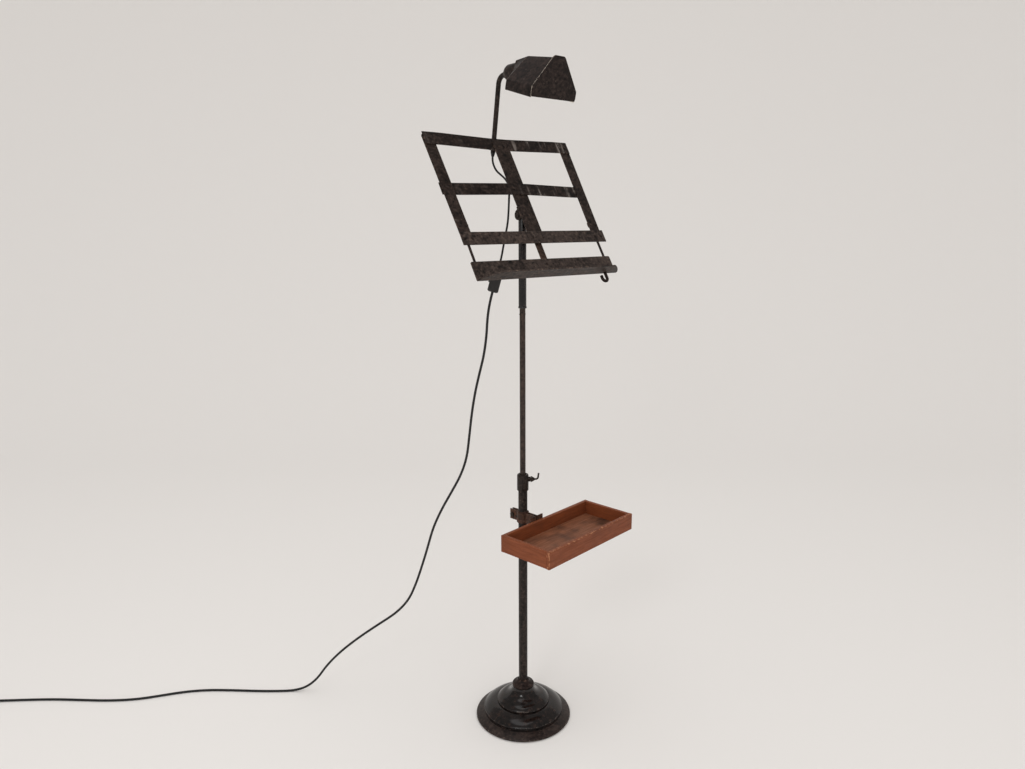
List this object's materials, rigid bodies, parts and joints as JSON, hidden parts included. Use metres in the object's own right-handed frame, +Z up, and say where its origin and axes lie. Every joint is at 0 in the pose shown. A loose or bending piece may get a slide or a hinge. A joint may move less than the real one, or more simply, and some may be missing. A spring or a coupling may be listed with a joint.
{
  "type": "music stand",
  "caption": "Free-standing music stand: round iron foot, sliding pole, tilting strip-iron desk with a sliding ledge, lamp on a bent arm, wooden side tray and mains lead",
  "frame": {"origin": "centre of the foot's underside, on the floor under the pole", "axes": "+Z up along the pole, +X along the desk's width to the musician's right, -Y towards the musician"},
  "size_m": [1.5466, 1.2555, 1.7082],
  "materials": {
    "black_enamel": "glossy black enamel, chipped",
    "brown_iron": "brown lacquer worn to metal",
    "dark_iron": "black paint, rubbed and scraped",
    "gloss_black": "glossy black paint",
    "worn_steel": "dull dark steel",
    "copper_brown": "paint worn to a coppery brown",
    "red_brown_wood": "red-brown stained wood, worn edges",
    "fibre": "dark fibre bush",
    "black_rubber": "black rubber sheath",
    "black_plastic": "moulded black plastic",
    "pale_brass": "turned brass",
    "bulb_glass": "frosted glass"
  },
  "bodies": {
    "base": {"base_foot": "black_enamel", "neck_ring": "brown_iron", "lower_pole": "dark_iron", "clamp_collar": "dark_iron", "cord_floor": "black_rubber", "cord_coil": "black_rubber", "cord_tie": "black_rubber", "plug_body": "black_plastic", "plug_pins": "pale_brass"},
    "clamp_screw": {"clamp_screw": "worn_steel"},
    "mast": {"upper_pole": "brown_iron", "rod_foot": "dark_iron", "stop_pin": "worn_steel", "cord_head": "black_rubber", "switch_body": "black_plastic"},
    "switch": {"switch_rocker": "black_plastic"},
    "head": {"head_sleeve": "gloss_black", "hinge_bolt": "worn_steel", "cord_lamp": "black_rubber"},
    "wing_nut": {"wing_nut": "worn_steel"},
    "desk": {"hinge_lug_left": "dark_iron", "hinge_lug_right": "dark_iron", "left_upright": "dark_iron", "right_upright": "dark_iron", "centre_strut": "dark_iron", "top_bar": "dark_iron", "middle_bar": "dark_iron", "lower_bar": "dark_iron", "desk_rivets": "worn_steel", "rod_guides": "dark_iron", "arm_holder": "dark_iron"},
    "ledge": {"ledge": "dark_iron", "ledge_rod_left": "dark_iron", "ledge_rod_right": "dark_iron", "ledge_centre_strip": "copper_brown", "ledge_hook": "dark_iron", "ledge_rivets": "worn_steel"},
    "arm_screw": {"arm_screw": "worn_steel"},
    "arm": {"lamp_arm": "dark_iron", "arm_grommet": "black_rubber"},
    "shade": {"arm_collar": "gloss_black", "socket_cup": "gloss_black", "lampholder": "black_plastic", "bulb": "bulb_glass", "bulb_cap": "pale_brass", "shade_trough": "gloss_black", "shade_front": "gloss_black", "shade_back": "gloss_black"},
    "liner": {"clamp_liner": "fibre"},
    "tray": {"tray_floor": "red_brown_wood", "tray_front": "red_brown_wood", "tray_back": "red_brown_wood", "tray_left": "red_brown_wood", "tray_right": "red_brown_wood", "clamp_strap_left": "dark_iron", "clamp_strap_right": "dark_iron", "clamp_bolt": "worn_steel", "clamp_nut": "worn_steel", "tray_screws": "worn_steel"}
  },
  "joints": [
    {"name": "mast_slide", "type": "slide", "parent": "base", "child": "mast", "axis": [0, 0, 1], "range_m": [-0.38, 0.1], "deforming": ["cord_floor"]},
    {"name": "head_swivel", "type": "hinge", "parent": "mast", "child": "head", "pos_m": [0, 0, 1.126], "axis": [0, 0, 1], "range_deg": [-90, 90], "deforming": ["cord_head"]},
    {"name": "desk_tilt", "type": "hinge", "parent": "head", "child": "desk", "pos_m": [0, 0, 1.352], "axis": [1, 0, 0], "range_deg": [-50, 25], "deforming": ["cord_lamp"]},
    {"name": "ledge_slide", "type": "slide", "parent": "desk", "child": "ledge", "axis": [0, 0.5255, 0.8508], "range_m": [-0.025, 0.035]},
    {"name": "arm_turn", "type": "hinge", "parent": "desk", "child": "arm", "pos_m": [0, 0.11134, 1.522], "axis": [0, -0.1547, 0.988], "range_deg": [-100, 100]},
    {"name": "shade_roll", "type": "hinge", "parent": "arm", "child": "shade", "pos_m": [0, 0.058, 1.6806], "axis": [0, -1, 0], "range_deg": [-60, 60]},
    {"name": "clamp_screw_turn", "type": "hinge", "parent": "base", "child": "clamp_screw", "pos_m": [0, 0, 0.681], "axis": [0.7771, -0.6293, 0], "range_deg": [-180, 180]},
    {"name": "wing_nut_turn", "type": "hinge", "parent": "head", "child": "wing_nut", "pos_m": [0.024, 0, 1.352], "axis": [1, 0, 0], "range_deg": [-180, 180]},
    {"name": "arm_screw_turn", "type": "hinge", "parent": "desk", "child": "arm_screw", "pos_m": [0, 0.11134, 1.522], "axis": [1, 0, 0], "range_deg": [-180, 180]},
    {"name": "tray_slide", "type": "slide", "parent": "base", "child": "liner", "axis": [0, 0, 1], "range_m": [-0.4, 0.05]},
    {"name": "tray_turn", "type": "hinge", "parent": "liner", "child": "tray", "pos_m": [0, 0, 0.5785], "axis": [0, 0, 1], "range_deg": [-80, 80]},
    {"name": "switch_rock", "type": "hinge", "parent": "mast", "child": "switch", "pos_m": [-0.05632, 0.05362, 1.19859], "axis": [-0.636, -0.7708, -0.0382], "range_deg": [-8, 8]}
  ]
}
